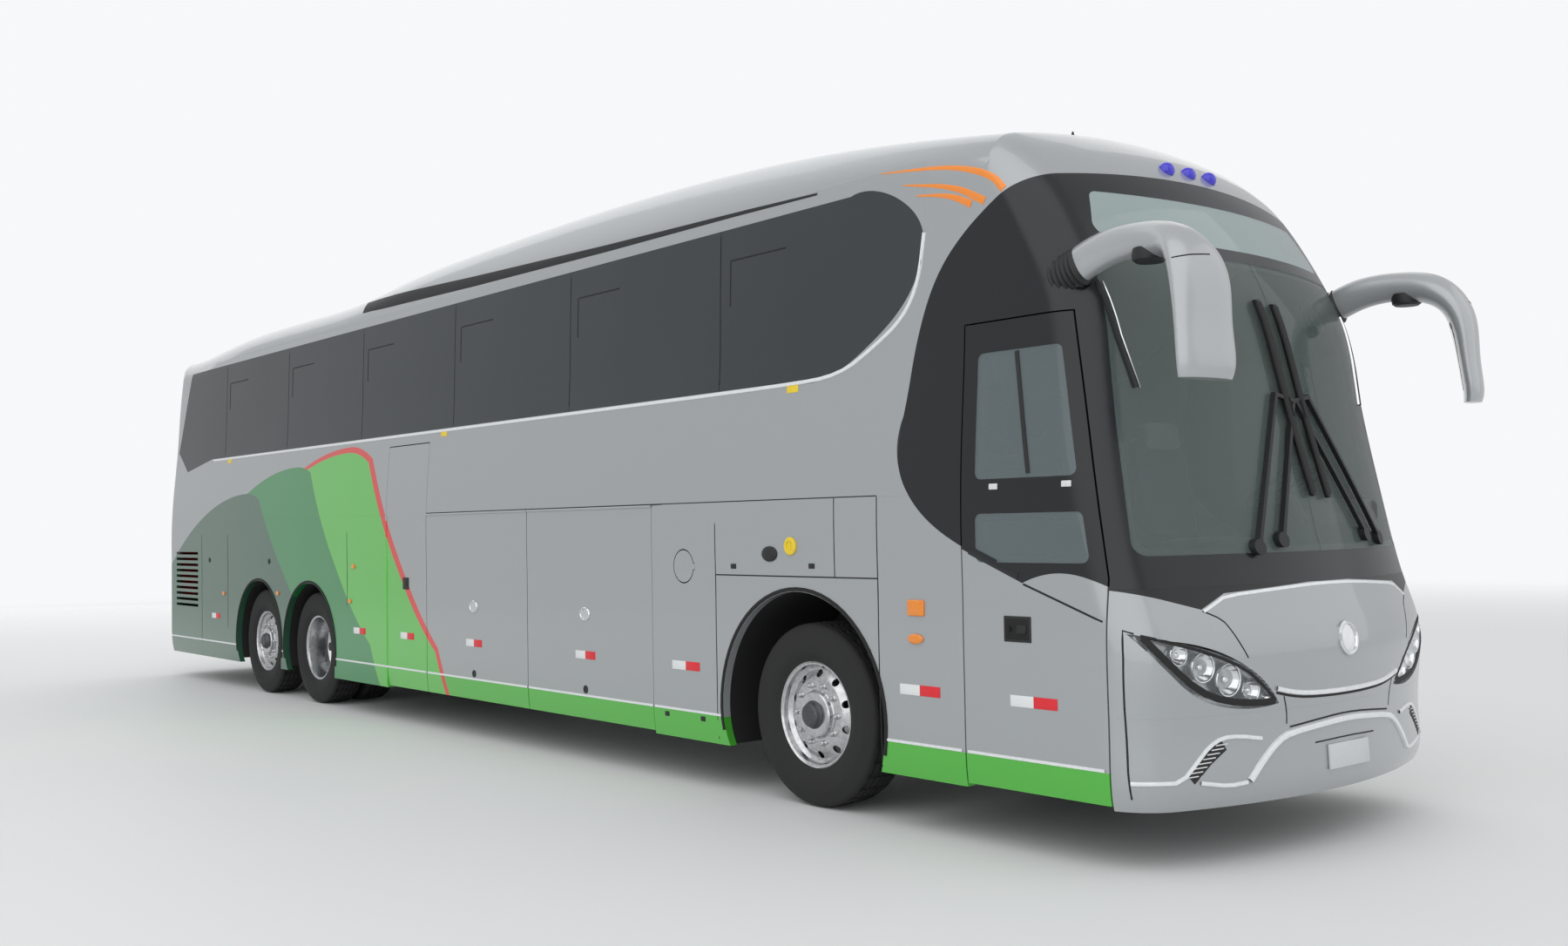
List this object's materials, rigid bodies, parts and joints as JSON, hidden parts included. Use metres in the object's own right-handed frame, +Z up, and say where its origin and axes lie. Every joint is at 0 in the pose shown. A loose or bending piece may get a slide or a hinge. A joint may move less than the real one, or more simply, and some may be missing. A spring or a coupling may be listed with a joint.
{
  "type": "three-axle touring coach",
  "caption": "High-deck three-axle touring coach with hollow cabin, luggage bays, steered front wheels, entry door and service lids.",
  "frame": {"origin": "on the ground under the middle of the whole coach, mirrors included", "axes": "+Z up, -Y to the nose, -X to the door side"},
  "size_m": [2.7708, 14.1549, 3.9304],
  "materials": {
    "body_silver": "metallic silver paint",
    "clear_glass": "clear",
    "dark_glass": "tinted",
    "floor": "grey floor covering",
    "grille": "silver paint",
    "iron": "painted iron",
    "lamp_blue": "blue lens",
    "lamp_clear": "clear lens",
    "lamp_red": "red lens",
    "liner": "black moulded",
    "mask_black": "gloss black",
    "seat_cloth": "woven",
    "steel": "black chassis paint",
    "trim_dark": "dark moulded",
    "tyre": "black rubber",
    "wheel_metal": "polished"
  },
  "bodies": {
    "coach_body": {"chassis_frame": "steel", "dashboard": "trim_dark", "driver_seat": "seat_cloth", "engine_block": "iron", "entry_steps": "floor", "floor_deck": "floor", "front_axle": "iron", "front_bumper": "body_silver", "front_mask": "mask_black", "front_panel": "body_silver", "head_lamps": "lamp_clear", "header_glass": "dark_glass", "lower_panels_left": "body_silver", "lower_panels_right": "body_silver", "luggage_bay": "floor", "marker_lamps": "lamp_blue", "mirrors": "body_silver", "passenger_seats": "seat_cloth", "rear_axles": "iron", "rear_bumper": "body_silver", "rear_wall": "body_silver", "rear_window": "dark_glass", "roof": "body_silver", "side_glass": "dark_glass", "side_grilles": "grille", "side_wall_left": "body_silver", "side_wall_right": "body_silver", "tail_lamps": "lamp_red", "wheel_boxes": "liner", "windscreen": "clear_glass", "wipers": "trim_dark"},
    "passenger_door": {"passenger_door": "body_silver", "door_glass": "clear_glass"},
    "door_arm": {"door_arm": "steel"},
    "luggage_door_front_right": {"luggage_door_front_right": "body_silver"},
    "luggage_door_rear_right": {"luggage_door_rear_right": "body_silver"},
    "luggage_door_front_left": {"luggage_door_front_left": "body_silver"},
    "luggage_door_rear_left": {"luggage_door_rear_left": "body_silver"},
    "locker_door": {"locker_door": "body_silver"},
    "engine_lid": {"engine_lid": "body_silver"},
    "steering_wheel": {"steering_wheel": "trim_dark"},
    "knuckle_right": {"knuckle_right": "iron"},
    "knuckle_left": {"knuckle_left": "iron"},
    "fuel_flap": {"fuel_flap": "body_silver"},
    "front_wheel_right": {"front_tyre_right": "tyre", "front_rim_right": "wheel_metal"},
    "drive_wheels_right": {"drive_tyres_right": "tyre", "drive_rims_right": "wheel_metal"},
    "tag_wheel_right": {"tag_tyre_right": "tyre", "tag_rim_right": "wheel_metal"},
    "front_wheel_left": {"front_tyre_left": "tyre", "front_rim_left": "wheel_metal"},
    "drive_wheels_left": {"drive_tyres_left": "tyre", "drive_rims_left": "wheel_metal"},
    "tag_wheel_left": {"tag_tyre_left": "tyre", "tag_rim_left": "wheel_metal"}
  },
  "joints": [
    {"name": "steer_right", "type": "hinge", "parent": "coach_body", "child": "knuckle_right", "pos_m": [-0.93, -4.335, 0.522], "axis": [0, 0, 1], "range_deg": [-40, 40]},
    {"name": "front_wheel_right_roll", "type": "hinge", "parent": "knuckle_right", "child": "front_wheel_right", "pos_m": [-1.095, -4.335, 0.522], "axis": [1, 0, 0], "continuous": true},
    {"name": "drive_wheels_right_roll", "type": "hinge", "parent": "coach_body", "child": "drive_wheels_right", "pos_m": [-0.9175, 2.815, 0.522], "axis": [1, 0, 0], "continuous": true},
    {"name": "tag_wheel_right_roll", "type": "hinge", "parent": "coach_body", "child": "tag_wheel_right", "pos_m": [-1.09, 4.115, 0.522], "axis": [1, 0, 0], "continuous": true},
    {"name": "steer_left", "type": "hinge", "parent": "coach_body", "child": "knuckle_left", "pos_m": [0.93, -4.335, 0.522], "axis": [0, 0, 1], "range_deg": [-40, 40]},
    {"name": "front_wheel_left_roll", "type": "hinge", "parent": "knuckle_left", "child": "front_wheel_left", "pos_m": [1.095, -4.335, 0.522], "axis": [1, 0, 0], "continuous": true},
    {"name": "drive_wheels_left_roll", "type": "hinge", "parent": "coach_body", "child": "drive_wheels_left", "pos_m": [0.9175, 2.815, 0.522], "axis": [1, 0, 0], "continuous": true},
    {"name": "tag_wheel_left_roll", "type": "hinge", "parent": "coach_body", "child": "tag_wheel_left", "pos_m": [1.09, 4.115, 0.522], "axis": [1, 0, 0], "continuous": true},
    {"name": "steering_wheel_turn", "type": "hinge", "parent": "coach_body", "child": "steering_wheel", "pos_m": [0.62, -6.215, 1.76], "axis": [0, 0.5, 0.866], "range_deg": [-600, 600]},
    {"name": "door_arm_swing", "type": "hinge", "parent": "coach_body", "child": "door_arm", "pos_m": [-1.163, -6.375, 1.21], "axis": [0, 0, 1], "range_deg": [0, 120]},
    {"name": "door_leaf_level", "type": "hinge", "parent": "door_arm", "child": "passenger_door", "pos_m": [-1.163, -5.855, 1.21], "axis": [0, 0, 1], "range_deg": [-120, 0]},
    {"name": "luggage_door_front_right_lift", "type": "hinge", "parent": "coach_body", "child": "luggage_door_front_right", "pos_m": [-1.3, -2.0625, 1.7367], "axis": [0, 1, 0], "range_deg": [0, 85]},
    {"name": "luggage_door_rear_right_lift", "type": "hinge", "parent": "coach_body", "child": "luggage_door_rear_right", "pos_m": [-1.3, -0.455, 1.7367], "axis": [0, 1, 0], "range_deg": [0, 85]},
    {"name": "luggage_door_front_left_lift", "type": "hinge", "parent": "coach_body", "child": "luggage_door_front_left", "pos_m": [1.3, -2.0625, 1.7367], "axis": [0, -1, 0], "range_deg": [0, 85]},
    {"name": "luggage_door_rear_left_lift", "type": "hinge", "parent": "coach_body", "child": "luggage_door_rear_left", "pos_m": [1.3, -0.455, 1.7367], "axis": [0, -1, 0], "range_deg": [0, 85]},
    {"name": "locker_door_swing", "type": "hinge", "parent": "coach_body", "child": "locker_door", "pos_m": [-1.3, 1.1067, 1.2], "axis": [0, 0, -1], "range_deg": [0, 100]},
    {"name": "fuel_flap_swing", "type": "hinge", "parent": "coach_body", "child": "fuel_flap", "pos_m": [-1.3, -3.3177, 1.355], "axis": [0, 0, 1], "range_deg": [0, 100]},
    {"name": "engine_lid_lift", "type": "hinge", "parent": "coach_body", "child": "engine_lid", "pos_m": [0, 7.083, 1.6797], "axis": [1, 0, 0], "range_deg": [0, 80]}
  ],
  "couplings": [
    {"joint": "steer_left", "follows": "steer_right", "ratio": 1},
    {"joint": "steering_wheel_turn", "follows": "steer_right", "ratio": 15},
    {"joint": "door_leaf_level", "follows": "door_arm_swing", "ratio": -1}
  ]
}
